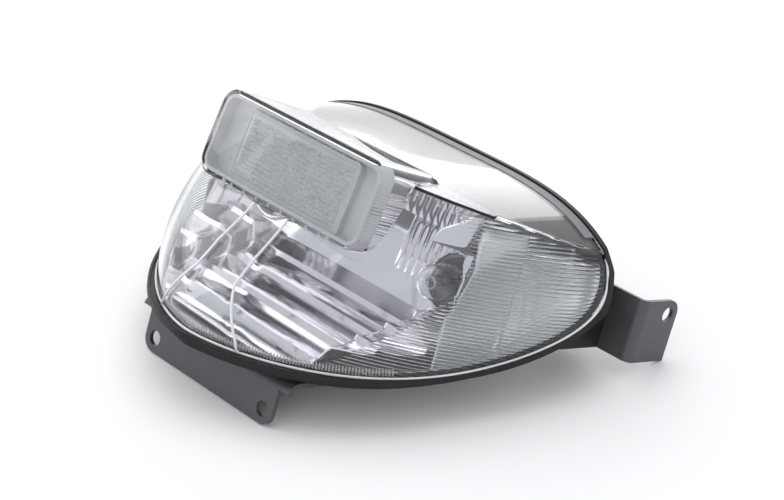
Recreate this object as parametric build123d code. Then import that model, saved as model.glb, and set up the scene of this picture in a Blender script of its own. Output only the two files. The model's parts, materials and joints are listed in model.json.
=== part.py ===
from build123d import *
import math
import os

os.makedirs("parts", exist_ok=True)

# Built upright as it sits on the vehicle: +X right, -Y rearward, +Z up, bulb plane at Y 0.
# "back" counts rearward from the bulb plane. At the end everything is tipped to its rest pose.

# Lens shape
lens_width = 273.0
lens_tail = 94.5
lens_front = 77.0
crown_height = 113.0
crown_drop = 34.0
crown_power = 4
lens_wall = 2.5
straight_run = 30.0
planform_steps = 16

# Sections from the bottom up: height, shares of the half width and the length, side and tail powers
lens_sections = [
    (-8.0, 1.0, 1.0, 1.3, 2.2),
    (35.0, 1.0, 0.94, 2.2, 1.6),
    (70.0, 0.99, 0.78, 2.9, 1.45),
    (95.0, 0.85, 0.68, 3.6, 1.5),
    (124.0, 0.72, 0.63, 4.0, 1.5),
]

# Parting curve between lens and housing, seen from the side
rim_height = 6.5
rim_rise = 85.0
rim_power = 1.58
rim_steps = 12

# Raised reflex box on the lens
box_width = 128.0
box_height = 49.0
box_corner = 10.0
box_edge = 2.5
box_back = 52.2
box_level = 97.8
box_lean = 9.7
box_depth = 46.0

# Reflex panel and its frame
panel_width = 85.0
panel_height = 37.0
panel_depth = 3.0
panel_corner = 3.0
panel_level = -2.0
frame_depth = 9.0
frame_wall = 1.8
frame_clearance = 0.3

# Housing
seal_depth = 1.2
lip_reach = 0.8
lip_wall = 1.5
lip_clearance = 0.3
lip_depth = 2.6
housing_depth = 7.0
tray_inset = 4.0
housing_wall = 2.5
recess_half = 97.0
recess_back = -38.0
recess_top = 84.0

# Bulbs, 20 mm wedge-base glass
bulb_spacing = 140.0
bulb_level = 60.0
bulb_back = -5.0
bulb_diameter = 20.0
bulb_barrel = 11.0
bulb_wall = 1.0
wedge_width = 15.4
wedge_depth = 5.6
wedge_length = 15.0
filament_length = 5.0
filament_radius = 0.6
lead_radius = 0.3

# Bulb holders
nose_diameter = 26.0
nose_reach = 18.0
hole_clearance = 0.3
lug_count = 3
lug_width = 6.0
lug_reach = 2.5
lug_depth = 2.4
lug_clearance = 0.3
twist_angle = 45.0
holder_seal_depth = 2.0
holder_gap = 0.05
flange_diameter = 36.0
flange_depth = 3.0
grip_depth = 13.0
grip_wall = 3.0
core_diameter = 24.0
terminal_block_width = 18.0
terminal_block_height = 12.0
terminal_block_depth = 5.0
blade_length = 8.0
slot_clearance = 0.2
contact_depth = 0.8
contact_width = 3.0
contact_offset = 4.0

# Chrome reflector
reflector_half = 96.0
reflector_wall = 2.0
reflector_inset = 0.8
floor_start = 33.5
floor_slope = 0.28
step_pitch = 20.0
step_rise = 3.0
floor_steps = 3
floor_tail = 14.0
floor_heel = (-13.0, 39.0)
wall_bend = (-19.0, 62.0)
wall_top = (-23.0, 84.0)
shelf_lip = (-9.0, 87.0)
reflector_top = (-14.0, 105.0)
bulb_hole_clearance = 1.2
reflector_screw_spacing = 52.0
reflector_screw_level = 69.0
reflector_boss_diameter = 8.0

# Brackets
sheet = 2.4
mount_hole = 8.5
tab_radius = 8.1
plate_back = 70.7
plate_hole_spacing = 90.8
plate_hole_level = -18.4
shelf_level = 2.0
shelf_half = 60.7
shelf_reach = 48.0
plate_bend = 6.0
bracket_screw_x = 38.0
bracket_screw_backs = (57.0, 35.0)
lower_boss_diameter = 12.0
ear_spacing = 293.8
ear_hole_ahead = 22.8
ear_hole_level = 70.8
ear_bottom = 43.6
ear_bend = 5.0
leg_round = 4.0
leg_inner = 98.0
pad_outer = 125.0
pad_wall = 3.0
side_screw_x = 111.0
side_screw_levels = (54.0, 73.0)

# Screws
screw_diameter = 5.0
screw_head = 9.0
screw_head_depth = 3.2
screw_length = 9.0
small_screw_diameter = 3.5
small_screw_head = 7.0
small_screw_head_depth = 2.4
small_screw_length = 11.0
hex_key = 3.0

half_width = lens_width / 2
full_length = lens_tail + lens_front
span = half_width + 60
sky = crown_height + 60


def planform(section, grow):
    height, width_share, length_share, side_power, tail_power = section
    half = half_width * width_share + grow
    length = full_length * length_share + grow
    points = []
    for step in range(planform_steps + 1):
        turn = math.pi * (step / planform_steps - 0.5)
        side = abs(math.sin(turn)) ** (2 / side_power)
        rear = abs(math.cos(turn)) ** (2 / tail_power)
        points.append((math.copysign(half * side, turn), lens_front - length * rear, height))
    nose = Spline(*points, tangents=[(0, -1, 0), (0, 1, 0)])
    left, right = points[0], points[-1]
    front = lens_front + straight_run
    corner_right = (right[0], front, height)
    corner_left = (left[0], front, height)
    outline = [
        nose,
        Line(right, corner_right),
        Line(corner_right, corner_left),
        Line(corner_left, left),
    ]
    return Face(Wire(outline))


def crown(grow):
    points = []
    wide = half_width + 20
    for step in range(planform_steps + 1):
        x = wide * (2 * step / planform_steps - 1)
        drop = crown_drop * (abs(x) / half_width) ** crown_power
        points.append((x, -lens_tail - 40, crown_height - drop + grow))
    low_right = (wide, -lens_tail - 40, -60)
    low_left = (-wide, -lens_tail - 40, -60)
    top = Spline(*points)
    outline = [top, Line(points[-1], low_right), Line(low_right, low_left), Line(low_left, points[0])]
    return extrude(Face(Wire(outline)), amount=full_length + 120, dir=(0, 1, 0))


def body(grow):
    return loft([planform(section, grow) for section in lens_sections]) & crown(grow)


def above_rim(drop):
    points = []
    for step in range(rim_steps + 1):
        turn = math.pi / 2 * step / rim_steps
        ahead = (full_length + drop) * math.sin(turn) ** (2 / rim_power)
        under = (rim_rise + drop) * math.cos(turn) ** (2 / rim_power)
        points.append((-span, ahead - lens_tail, rim_height + rim_rise - under))
    rear = (-span, -lens_tail - 60, rim_height - drop)
    rear_top = (-span, -lens_tail - 60, sky)
    front_top = (-span, lens_front + drop, sky)
    curve = Spline(*points, tangents=[(0, 1, 0), (0, 0, 1)])
    outline = [
        curve,
        Line(points[-1], front_top),
        Line(front_top, rear_top),
        Line(rear_top, rear),
        Line(rear, points[0]),
    ]
    return extrude(Face(Wire(outline)), amount=2 * span, dir=(1, 0, 0))


def rim_level(back, drop):
    ahead = min(max((back + lens_front) / full_length, 0.0), 1.0)
    share = (1 - (1 - ahead) ** rim_power) ** (1 / rim_power)
    return rim_height + rim_rise - rim_rise * share - drop


def block(x_from, x_to, back_from, back_to, z_from, z_to):
    size = (x_to - x_from, back_to - back_from, z_to - z_from)
    middle = ((x_from + x_to) / 2, -(back_from + back_to) / 2, (z_from + z_to) / 2)
    return Pos(*middle) * Box(*size)


def rod(x, z, back_from, back_to, radius):
    middle = -(back_from + back_to) / 2
    return Pos(x, middle, z) * Rot(90, 0, 0) * Cylinder(radius, abs(back_to - back_from))


def post(x, back, z_from, z_to, radius):
    return Pos(x, -back, (z_from + z_to) / 2) * Cylinder(radius, z_to - z_from)


def mirrored(shape):
    return mirror(shape, about=Plane.YZ)


def single(shape):
    solids = shape.solids()
    return max(solids, key=lambda solid: solid.volume)


nodes = {}

# Lens: swept body with the raised box, opened towards the housing
face_plane = Plane(
    origin=(0, -box_back, box_level),
    x_dir=(1, 0, 0),
    z_dir=(0, -math.cos(math.radians(box_lean)), math.sin(math.radians(box_lean))),
)


def raised_box(grow):
    outline = RectangleRounded(box_width + 2 * grow, box_height + 2 * grow, box_corner + grow)
    solid = extrude(outline, amount=-box_depth)
    if grow == 0:
        solid = fillet(solid.faces().sort_by(Axis.Z)[-1].edges(), box_edge)
    return face_plane * Pos(0, 0, grow) * solid


lens_outer = body(0) + raised_box(0)
lens_inner = body(-lens_wall) + raised_box(-lens_wall)
nodes["outer_lens"] = single((lens_outer - lens_inner) & above_rim(0))

# Sealing bead under the lens edge
edge_ring = body(0) - body(-lens_wall)
nodes["lens_seal"] = (edge_ring & above_rim(seal_depth)) - above_rim(0)

# Reflex panel in its frame, behind the clear face of the box
face_inner = -lens_wall
frame_width = box_width - 2 * lens_wall - 2 * frame_clearance
frame_height = box_height - 2 * lens_wall - 2 * frame_clearance
frame_corner = box_corner - lens_wall - frame_clearance
frame_outer = extrude(RectangleRounded(frame_width, frame_height, frame_corner), amount=-frame_depth)
panel_slab = extrude(RectangleRounded(panel_width, panel_height, panel_corner), amount=-panel_depth)
frame_hollow_size = (frame_width - 2 * frame_wall, frame_height - 2 * frame_wall)
frame_hollow = extrude(
    RectangleRounded(*frame_hollow_size, frame_corner - frame_wall), amount=-(frame_depth - frame_wall)
)
frame_lower = -2 * frame_wall
pocket_outline = RectangleRounded(
    panel_width + 2 * frame_wall, panel_height + 2 * frame_wall, panel_corner + frame_wall
)
pocket_wall = extrude(pocket_outline, amount=-(frame_depth + frame_lower))
panel_frame = (frame_outer - frame_hollow) + Pos(0, panel_level, frame_lower) * pocket_wall
panel_frame -= Pos(0, panel_level, frame_lower) * panel_slab
nodes["panel_frame"] = face_plane * Pos(0, 0, face_inner) * (panel_frame & frame_outer)
nodes["reflex_panel"] = face_plane * Pos(0, panel_level, face_inner + frame_lower) * panel_slab

# Housing tray under the rim, with a recess for the bulb holders
front_edge = -lens_front - housing_depth
tray = body(lip_clearance + lip_wall) & above_rim(lip_depth)
tray += body(-tray_inset) & above_rim(housing_depth)
tray -= above_rim(-lip_reach)
tray -= body(lip_clearance) & above_rim(seal_depth)
tray -= body(-tray_inset - housing_wall) & above_rim(housing_depth - housing_wall)
recess_outer = recess_half + housing_wall
recess_ceiling = recess_top + housing_wall
recess_rear = recess_back + housing_wall
recess_shell = block(-recess_outer, recess_outer, front_edge - 20, recess_rear, -60, recess_ceiling)
housing = tray + (recess_shell & body(-tray_inset) & above_rim(housing_depth))
housing -= block(-recess_half, recess_half, front_edge - 60, recess_back, -60, recess_top)

# Pads and bosses that the brackets are screwed to
leg_top = ear_hole_level + tab_radius
front_limit = body(lip_clearance) - above_rim(housing_depth - housing_wall / 2)
pad_block = block(recess_half, pad_outer, front_edge, 0, ear_bottom, leg_top)
pad_start = recess_half + pad_wall
pad_end = pad_outer - pad_wall
pad_pocket = block(pad_start, pad_end, front_edge + pad_wall, 0, ear_bottom - 1, leg_top - pad_wall)
pad = (pad_block - pad_pocket) & front_limit
pilot = screw_diameter / 2
for level in side_screw_levels:
    boss = rod(side_screw_x, level, front_edge, front_edge + screw_length, screw_diameter)
    pad += boss
housing = housing + pad + mirrored(pad)
for level in side_screw_levels:
    for x in (-side_screw_x, side_screw_x):
        housing -= rod(x, level, front_edge, front_edge + screw_length, pilot)

lower_bosses = []
for back in bracket_screw_backs:
    for x in (-bracket_screw_x, bracket_screw_x):
        boss_top = rim_level(back, -1.0)
        housing += post(x, back, shelf_level, boss_top, lower_boss_diameter / 2)
        lower_bosses.append((x, back, boss_top))
lower_screw_length = min(top for x, back, top in lower_bosses) - shelf_level - 1.5
for x, back, top in lower_bosses:
    housing -= post(x, back, shelf_level, shelf_level + lower_screw_length, pilot)

# Bulb holder seats: hole, lug notches, stop
bulb_x = bulb_spacing / 2
wall_inner = recess_back + housing_wall
hole_radius = nose_diameter / 2 + hole_clearance
lug_radius = nose_diameter / 2 + lug_reach


def around(x, shape, turn):
    axis = Axis((x, 0, bulb_level), (0, -1, 0))
    return shape.rotate(axis, turn)


def lug(x, extra, back_from, back_to):
    width = lug_width + 2 * extra
    outer = bulb_level + lug_radius + extra
    inner = bulb_level + nose_diameter / 2 - 1.5
    return block(x - width / 2, x + width / 2, back_from, back_to, inner, outer)


stop_half = 1.5
stop_gap = 0.4
stop_turn = 8.0
lug_half_angle = math.degrees(math.asin((lug_width / 2 + lug_clearance) / (nose_diameter / 2)))
for x in (-bulb_x, bulb_x):
    housing -= rod(x, bulb_level, recess_back - 1, wall_inner + 1, hole_radius)
    for index in range(lug_count):
        notch = lug(x, lug_clearance, recess_back - 1, wall_inner + 1)
        housing -= around(x, notch, 360 / lug_count * index - twist_angle)
    stop_low = bulb_level + hole_radius + stop_gap
    stop_high = bulb_level + lug_radius
    stop = block(x - stop_half, x + stop_half, wall_inner - 1, wall_inner + lug_depth, stop_low, stop_high)
    housing += around(x, stop, lug_half_angle + stop_turn)

# Screws that hold the reflector pass through the recess wall
reflector_screw_x = reflector_screw_spacing / 2
reflector_screws = []
for x in (-reflector_screw_x, reflector_screw_x):
    hole = rod(x, reflector_screw_level, recess_back - 1, wall_inner + 1, small_screw_diameter / 2)
    housing -= hole
    shank_end = recess_back + small_screw_length
    head_start = recess_back - small_screw_head_depth
    screw = rod(x, reflector_screw_level, recess_back, shank_end, small_screw_diameter / 2)
    head = rod(x, reflector_screw_level, head_start, recess_back, small_screw_head / 2)
    key = rod(x, reflector_screw_level, head_start, recess_back - 1, hex_key / 3)
    reflector_screws.append(screw + head - key)
nodes["housing"] = housing
nodes["reflector_screws"] = Compound(children=reflector_screws)

# Chrome reflector: stepped floor, upright wall, shelf and upper wall, closed at both sides
floor_end = step_pitch * floor_steps + floor_tail
floor_line = [(floor_end, floor_start - floor_slope * floor_end - step_rise)]
for step in range(floor_steps, -1, -1):
    back = step * step_pitch
    level = floor_start - floor_slope * back
    floor_line += [(back, level - step_rise), (back, level)]
floor_line += [floor_heel, wall_bend, wall_top, shelf_lip, reflector_top]


def side_region(line, closing):
    points = [(-span, -back, level) for back, level in line + closing]
    return extrude(Face(Wire(Polyline(*points, close=True))), amount=2 * span, dir=(1, 0, 0))


beyond_tail = lens_tail + 25
cavity = side_region(floor_line, [(beyond_tail, reflector_top[1]), (beyond_tail, floor_line[0][1])])
thick_line = [(floor_line[0][0], floor_line[0][1] - reflector_wall)]
for step in range(floor_steps, 0, -1):
    back = step * step_pitch
    level = floor_start - floor_slope * back
    thick_line.append((back - reflector_wall, level - reflector_wall - step_rise * 0.2))
thick_line.append((floor_heel[0] - reflector_wall * 0.7, floor_heel[1] - reflector_wall * 0.8))
thick_line.append((wall_bend[0] - reflector_wall, wall_bend[1]))
thick_line.append((wall_top[0] - reflector_wall, wall_top[1] + reflector_wall))
thick_line.append((shelf_lip[0] - reflector_wall, shelf_lip[1] + reflector_wall))
thick_line.append((reflector_top[0] - reflector_wall, reflector_top[1]))
backing = side_region(thick_line, [(beyond_tail, reflector_top[1]), (beyond_tail, thick_line[0][1])])
limit = body(-tray_inset - housing_wall - reflector_inset)
slab = block(-reflector_half, reflector_half, -40, 130, 0, crown_height)
hollow_half = reflector_half - reflector_wall
hollow = block(-hollow_half, hollow_half, -40, 130, 0, crown_height)
reflector = (backing & slab & limit) - (cavity & hollow)
bulb_hole_radius = nose_diameter / 2 + bulb_hole_clearance
for x in (-bulb_x, bulb_x):
    reflector -= rod(x, bulb_level, -40, 0, bulb_hole_radius)
for x in (-reflector_screw_x, reflector_screw_x):
    boss = rod(x, reflector_screw_level, wall_inner, -15, reflector_boss_diameter / 2) - cavity
    reflector = reflector + boss
    reflector -= rod(x, reflector_screw_level, wall_inner, shank_end, small_screw_diameter / 2)
nodes["chrome_reflector"] = single(reflector)

# Bulbs, holders, seals and contacts, one set per side
bulb_radius = bulb_diameter / 2
barrel_end = bulb_back - bulb_barrel
wedge_start = barrel_end - 2.0
wedge_end = wedge_start - wedge_length
nose_front = wedge_end + wedge_length - 2.0
seal_face = recess_back - holder_gap
flange_face = seal_face - holder_seal_depth
flange_end = flange_face - flange_depth
grip_end = flange_end - grip_depth
block_end = grip_end - terminal_block_depth
blade_end = block_end - blade_length


def capsule(x, radius, back_to):
    dome = Pos(x, -bulb_back, bulb_level) * Sphere(radius)
    return dome + rod(x, bulb_level, back_to, bulb_back, radius)


def bulb_glass(x):
    solid = capsule(x, bulb_radius, barrel_end)
    neck_profile = Pos(x, -barrel_end, bulb_level) * Rot(90, 0, 0) * Circle(bulb_radius)
    pinch_outline = RectangleRounded(wedge_width, wedge_depth, 1.0)
    pinch = Pos(x, -wedge_start, bulb_level) * Rot(90, 0, 0) * pinch_outline
    solid += loft([neck_profile.face(), pinch.face()])
    half = wedge_width / 2
    wedge_top = wedge_depth / 2
    wedge_low = bulb_level - wedge_top
    solid += block(x - half, x + half, wedge_end, wedge_start, wedge_low, wedge_low + 2 * wedge_top)
    return solid - capsule(x, bulb_radius - bulb_wall, barrel_end + bulb_wall)


def filaments(x):
    shapes = []
    for back, spread in ((bulb_back + 1, 1.0), (bulb_back - 4, -1.0)):
        turn = Rot(0, 90, 0) * Cylinder(filament_radius, filament_length)
        coil = Pos(x, -back, bulb_level + spread) * turn
        for side in (-1, 1):
            lead_x = x + side * (filament_length / 2 - 3 * lead_radius)
            coil += rod(lead_x, bulb_level + spread, wedge_end + 4, back, lead_radius)
        shapes.append(coil)
    return shapes


def contact(x, offset, side):
    inner = bulb_level + side * wedge_depth / 2
    outer = inner + side * contact_depth
    low, high = min(inner, outer), max(inner, outer)
    half = contact_width / 2
    return block(x + offset - half, x + offset + half, blade_end, nose_front - 3, low, high)


def holder_contacts(x):
    return [contact(x, -contact_offset, 1), contact(x, contact_offset, 1), contact(x, 0, -1)]


def bulb_holder(x):
    solid = rod(x, bulb_level, flange_face, nose_front, nose_diameter / 2)
    solid += rod(x, bulb_level, flange_end, flange_face, flange_diameter / 2)
    solid += rod(x, bulb_level, grip_end, flange_end, core_diameter / 2)
    grip_half = flange_diameter / 2 - 1
    grip_low = bulb_level - grip_half
    grip_high = bulb_level + grip_half
    solid += block(x - grip_wall / 2, x + grip_wall / 2, grip_end + 2, flange_end, grip_low, grip_high)
    block_half = terminal_block_width / 2
    block_top = terminal_block_height / 2
    block_low = bulb_level - block_top
    solid += block(x - block_half, x + block_half, block_end, grip_end, block_low, block_low + 2 * block_top)
    lug_face = wall_inner + lug_clearance
    for index in range(lug_count):
        solid += around(x, lug(x, 0, lug_face, lug_face + lug_depth), 360 / lug_count * index)
    slot_half = wedge_width / 2 + slot_clearance
    slot_top = wedge_depth / 2 + slot_clearance
    slot_low = bulb_level - slot_top
    solid -= block(x - slot_half, x + slot_half, wedge_end, nose_front, slot_low, slot_low + 2 * slot_top)
    for strip in holder_contacts(x):
        solid -= strip
    return solid


for side, x in (("left", -bulb_x), ("right", bulb_x)):
    wires = filaments(x)
    glass = bulb_glass(x)
    for wire in wires:
        glass -= wire
    nodes[f"bulb_glass_{side}"] = glass
    nodes[f"filaments_{side}"] = Compound(children=wires)
    nodes[f"bulb_holder_{side}"] = bulb_holder(x)
    nodes[f"holder_contacts_{side}"] = Compound(children=holder_contacts(x))
    ring = rod(x, bulb_level, flange_face, seal_face, flange_diameter / 2 - 1)
    nodes[f"holder_seal_{side}"] = ring - rod(x, bulb_level, flange_face, seal_face, nose_diameter / 2)

# Lower bracket: mounting plate bent forward into a shelf under the housing
plate_front = plate_back - sheet
plate_bottom = plate_hole_level - tab_radius
plate_half = plate_hole_spacing / 2 + tab_radius
shelf_end = plate_front - shelf_reach
inner_bend = plate_bend - sheet / 2
outer_bend = plate_bend + sheet / 2
angle_block = block(-shelf_half, shelf_half, shelf_end, plate_back, plate_bottom, shelf_level)
angle_void = block(
    -shelf_half - 1, shelf_half + 1, shelf_end - 1, plate_front, plate_bottom - 1, shelf_level - sheet
)
outer_edges = angle_block.edges().filter_by(Axis.X).sort_by(Axis.Z)[-2:].sort_by(Axis.Y)[:1]
void_edges = angle_void.edges().filter_by(Axis.X).sort_by(Axis.Z)[-2:].sort_by(Axis.Y)[:1]
lower = fillet(outer_edges, outer_bend) - fillet(void_edges, inner_bend)
outline_height = shelf_level - plate_bottom + 40
plate_outline = RectangleRounded(2 * plate_half, outline_height, tab_radius)
plate_prism = Plane.XZ * Pos(0, plate_bottom + outline_height / 2, 0) * plate_outline
plate_keep = extrude(plate_prism, amount=100)
plate_keep += block(-span, span, -100, 100, shelf_level - plate_bend, shelf_level)
lower &= plate_keep + block(-span, span, -100, plate_front - 1, -50, 50)
hole_x = plate_hole_spacing / 2
for x in (-hole_x, hole_x):
    lower -= rod(x, plate_hole_level, plate_front - 1, plate_back + 1, mount_hole / 2)
for x, back, top in lower_bosses:
    lower -= post(x, back, shelf_level - sheet, shelf_level, pilot)
nodes["lower_bracket"] = lower

lower_screws = []
head_low = shelf_level - sheet - screw_head_depth
for x, back, top in lower_bosses:
    shank = post(x, back, shelf_level - sheet, shelf_level + lower_screw_length, pilot)
    head = post(x, back, head_low, shelf_level - sheet, screw_head / 2)
    lower_screws.append(shank + head - post(x, back, head_low, head_low + 1.8, hex_key / 2))
nodes["lower_bracket_screws"] = Compound(children=lower_screws)

# Side brackets: leg behind the housing pad, bent forward into the ear
leg_face = front_edge
ear_outer = ear_spacing / 2
ear_inner = ear_outer - sheet
ear_hole_back = leg_face - ear_hole_ahead
ear_front = ear_hole_back - tab_radius
corner_block = block(leg_inner, ear_outer, ear_front, leg_face, ear_bottom, leg_top)
corner_void = block(leg_inner - 1, ear_inner, ear_front - 1, leg_face - sheet, ear_bottom - 1, leg_top + 1)
bend_edge = corner_block.edges().filter_by(Axis.Z).sort_by(Axis.X)[-2:].sort_by(Axis.Y)[:1]
void_edge = corner_void.edges().filter_by(Axis.Z).sort_by(Axis.X)[-2:].sort_by(Axis.Y)[:1]
side_bracket = fillet(bend_edge, ear_bend) - fillet(void_edge, ear_bend - sheet)
tip = block(ear_inner - 1, ear_outer + 1, ear_front - 1, ear_hole_back, ear_hole_level, leg_top + 1)
tab = Pos(ear_inner, -ear_hole_back, ear_hole_level) * Rot(0, 90, 0) * Cylinder(tab_radius, 4 * sheet)
side_bracket -= tip - tab
leg_corner = side_bracket.edges().filter_by(Axis.Y).sort_by(Axis.X)[:2]
side_bracket = fillet(leg_corner, leg_round)
ear_hole = Rot(0, 90, 0) * Cylinder(mount_hole / 2, 4 * sheet)
side_bracket -= Pos(ear_inner, -ear_hole_back, ear_hole_level) * ear_hole
side_screws = []
for level in side_screw_levels:
    side_bracket -= rod(side_screw_x, level, leg_face - sheet, leg_face, pilot)
    shank = rod(side_screw_x, level, leg_face - sheet, leg_face + screw_length - 1, pilot)
    head_end = leg_face - sheet - screw_head_depth
    head = rod(side_screw_x, level, head_end, leg_face - sheet, screw_head / 2)
    side_screws.append(shank + head - rod(side_screw_x, level, head_end, head_end + 1.8, hex_key / 2))
nodes["side_bracket_right"] = side_bracket
nodes["side_bracket_left"] = mirrored(side_bracket)
left_screws = [mirrored(screw) for screw in side_screws]
nodes["side_bracket_screws"] = Compound(children=side_screws + left_screws)

# Rest pose: the lamp stands on the edge of the lower plate and the tips of both ears
rest_pitch = math.degrees(math.atan2(ear_bottom - plate_bottom, plate_front - ear_front))
tipped = {name: shape.rotate(Axis.X, -rest_pitch) for name, shape in nodes.items()}
extent = Compound(children=[solid for shape in tipped.values() for solid in shape.solids()]).bounding_box()
shift = Pos(0, -(extent.min.Y + extent.max.Y) / 2, -extent.min.Z)
print("rest pitch", rest_pitch, "shift", shift.position)
print("size", extent.size)

for name, shape in tipped.items():
    solids = [shift * solid for solid in shape.solids()]
    print(name, len(solids), [round(s.volume) for s in solids], all(s.is_valid for s in solids))
    export_step(Compound(children=solids), f"parts/{name}.step")
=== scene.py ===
import json
import math
import bmesh
import bpy
import numpy as np
from mathutils import Euler, Matrix, Vector


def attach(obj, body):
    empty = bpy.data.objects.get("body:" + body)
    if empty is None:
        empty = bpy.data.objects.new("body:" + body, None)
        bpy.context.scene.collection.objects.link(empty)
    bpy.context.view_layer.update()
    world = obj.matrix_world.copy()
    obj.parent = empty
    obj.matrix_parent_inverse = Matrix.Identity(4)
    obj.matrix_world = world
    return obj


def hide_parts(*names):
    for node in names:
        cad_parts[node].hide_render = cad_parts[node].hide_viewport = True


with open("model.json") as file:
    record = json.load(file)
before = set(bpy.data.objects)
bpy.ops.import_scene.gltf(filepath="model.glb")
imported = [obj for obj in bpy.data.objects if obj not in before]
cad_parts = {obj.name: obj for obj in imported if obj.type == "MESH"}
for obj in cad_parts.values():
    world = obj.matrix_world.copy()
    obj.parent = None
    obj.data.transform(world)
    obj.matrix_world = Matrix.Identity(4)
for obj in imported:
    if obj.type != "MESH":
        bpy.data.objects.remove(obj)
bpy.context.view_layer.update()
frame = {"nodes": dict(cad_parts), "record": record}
nodes = frame["nodes"]
record = frame["record"]
scene = bpy.context.scene
print("frame loaded", len(nodes), "nodes")

# upright frame in millimetres: across, back (rearward), up; the lamp lies tipped in the row frame
mounts = {mount["name"]: mount for mount in record["mounts"]}
lowerHole = mounts["lower_hole_right"]
rearAxis = Vector(lowerHole["axis"])
pitch = math.atan2(rearAxis.z, -rearAxis.y)
uprightHole = (45.4, 69.5, -18.4)  # the same hole, upright


def tip(points):
    p = np.asarray(points, float)
    c, s = math.cos(pitch), math.sin(pitch)
    return np.stack([p[..., 0], -p[..., 1] * c + p[..., 2] * s, p[..., 1] * s + p[..., 2] * c], -1) / 1000


rowOffset = np.array(lowerHole["pos_m"]) - tip(uprightHole)


def toRow(points):
    return tip(points) + rowOffset


def toUpright(point):
    y, z = point.y * 1000 - rowOffset[1] * 1000, point.z * 1000 - rowOffset[2] * 1000
    c, s = math.cos(pitch), math.sin(pitch)
    return point.x * 1000, -y * c + z * s, y * s + z * c


# meshes
def addObject(name, mesh):
    obj = bpy.data.objects.new(name, mesh)
    scene.collection.objects.link(obj)
    return obj


def buildMesh(name, points, faces, smooth=True):
    mesh = bpy.data.meshes.new(name)
    mesh.from_pydata([tuple(p) for p in points], [], faces)
    mesh.polygons.foreach_set("use_smooth", [smooth] * len(faces))
    mesh.update()
    return mesh


def gridFaces(rows, columns, start=0, wrap=False, flip=False):
    faces = []
    for r in range(rows - 1):
        for c in range(columns if wrap else columns - 1):
            d = (c + 1) % columns
            low, high = start + r * columns, start + (r + 1) * columns
            quad = [low + c, low + d, high + d, high + c]
            faces.append(quad[::-1] if flip else quad)
    return faces


def tidyMesh(mesh, distance):
    work = bmesh.new()
    work.from_mesh(mesh)
    bmesh.ops.remove_doubles(work, verts=work.verts, dist=distance)
    bmesh.ops.dissolve_degenerate(work, edges=work.edges, dist=distance)
    bmesh.ops.recalc_face_normals(work, faces=work.faces)
    work.to_mesh(mesh)
    work.free()
    return mesh


# camera, light, floor
view = {
    "azimuth": 47.47, "elevation": 30.44, "distance": 1.1642,
    "lens": 97.1, "sensor": 36.0, "aim": (0.0123, 0.0276, 0.0405),
}
cameraData = bpy.data.cameras.new("camera")
cameraData.lens = view["lens"]
cameraData.sensor_width = view["sensor"]
camera = bpy.data.objects.new("camera", cameraData)
scene.collection.objects.link(camera)
turned, raised = math.radians(view["azimuth"]), math.radians(view["elevation"])
flatway = math.cos(raised)
towards = Vector((math.sin(turned) * flatway, -math.cos(turned) * flatway, math.sin(raised)))
camera.location = Vector(view["aim"]) + towards * view["distance"]
camera.rotation_euler = (-towards).to_track_quat("-Z", "Y").to_euler()
scene.camera = camera
scene.view_settings.view_transform = "Standard"

studio = {
    "floorSize": 6.0,
    "skyTone": (0.93, 0.95, 0.98),
    "skyStrength": 0.95,
    "panels": {  # name: place, size, power, aim
        "overhead": ((-0.25, 0.25, 1.5), 1.4, 7.0, (0, 0, 0)),
        "leftPanel": ((-1.3, -0.5, 0.9), 1.1, 6.0, (0, 0, 0.05)),
        "backPanel": ((-1.1, 1.4, 0.5), 1.3, 9.0, (0, 0, 0.08)),
    },
}
floorMesh = bpy.data.meshes.new("floor")
half = studio["floorSize"] / 2
floorCorners = [(-half, -half, 0), (half, -half, 0), (half, half, 0), (-half, half, 0)]
floorMesh.from_pydata(floorCorners, [], [(0, 1, 2, 3)])
floor = addObject("floor", floorMesh)
for name, (place, size, power, aim) in studio["panels"].items():
    lampData = bpy.data.lights.new(name, "AREA")
    lampData.shape = "SQUARE"
    lampData.size = size
    lampData.energy = power
    lamp = bpy.data.objects.new(name, lampData)
    lamp.location = place
    lamp.rotation_euler = (Vector(aim) - Vector(place)).to_track_quat("-Z", "Y").to_euler()
    scene.collection.objects.link(lamp)
world = bpy.data.worlds.new("studio")
world.use_nodes = True
skyNode = world.node_tree.nodes["Background"]
skyNode.inputs["Color"].default_value = (*studio["skyTone"], 1)
skyNode.inputs["Strength"].default_value = studio["skyStrength"]
scene.world = world
print("studio ready")


# materials
def newMaterial(name, color, **values):
    material = bpy.data.materials.new(name)
    material.use_nodes = True
    shader = material.node_tree.nodes["Principled BSDF"]
    shader.inputs["Base Color"].default_value = (*color, 1)
    for socket, value in values.items():
        shader.inputs[socket].default_value = value
    return material, shader


def addNode(material, kind, **settings):
    node = material.node_tree.nodes.new(kind)
    for key, value in settings.items():
        if key in node.inputs:
            node.inputs[key].default_value = value
        else:
            setattr(node, key, value)
    return node


def link(material, source, target):
    material.node_tree.links.new(source, target)


def noiseOn(material, scale, detail):
    coord = addNode(material, "ShaderNodeTexCoord")
    noise = addNode(material, "ShaderNodeTexNoise", Scale=scale, Detail=detail)
    link(material, coord.outputs["Object"], noise.inputs["Vector"])
    return noise.outputs["Fac"]


def spread(material, source, low, high):
    ramp = addNode(material, "ShaderNodeMapRange")
    ramp.inputs["To Min"].default_value = low
    ramp.inputs["To Max"].default_value = high
    link(material, source, ramp.inputs["Value"])
    return ramp.outputs["Result"]


def tint(material, source, dark, light):
    mix = addNode(material, "ShaderNodeMix", data_type="RGBA")
    mix.inputs[6].default_value = (*dark, 1)
    mix.inputs[7].default_value = (*light, 1)
    link(material, source, mix.inputs[0])
    return mix.outputs[2]


def bumpOn(material, shader, height, strength, distance):
    bump = addNode(material, "ShaderNodeBump", Strength=strength, Distance=distance)
    link(material, height, bump.inputs["Height"])
    link(material, bump.outputs["Normal"], shader.inputs["Normal"])


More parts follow.
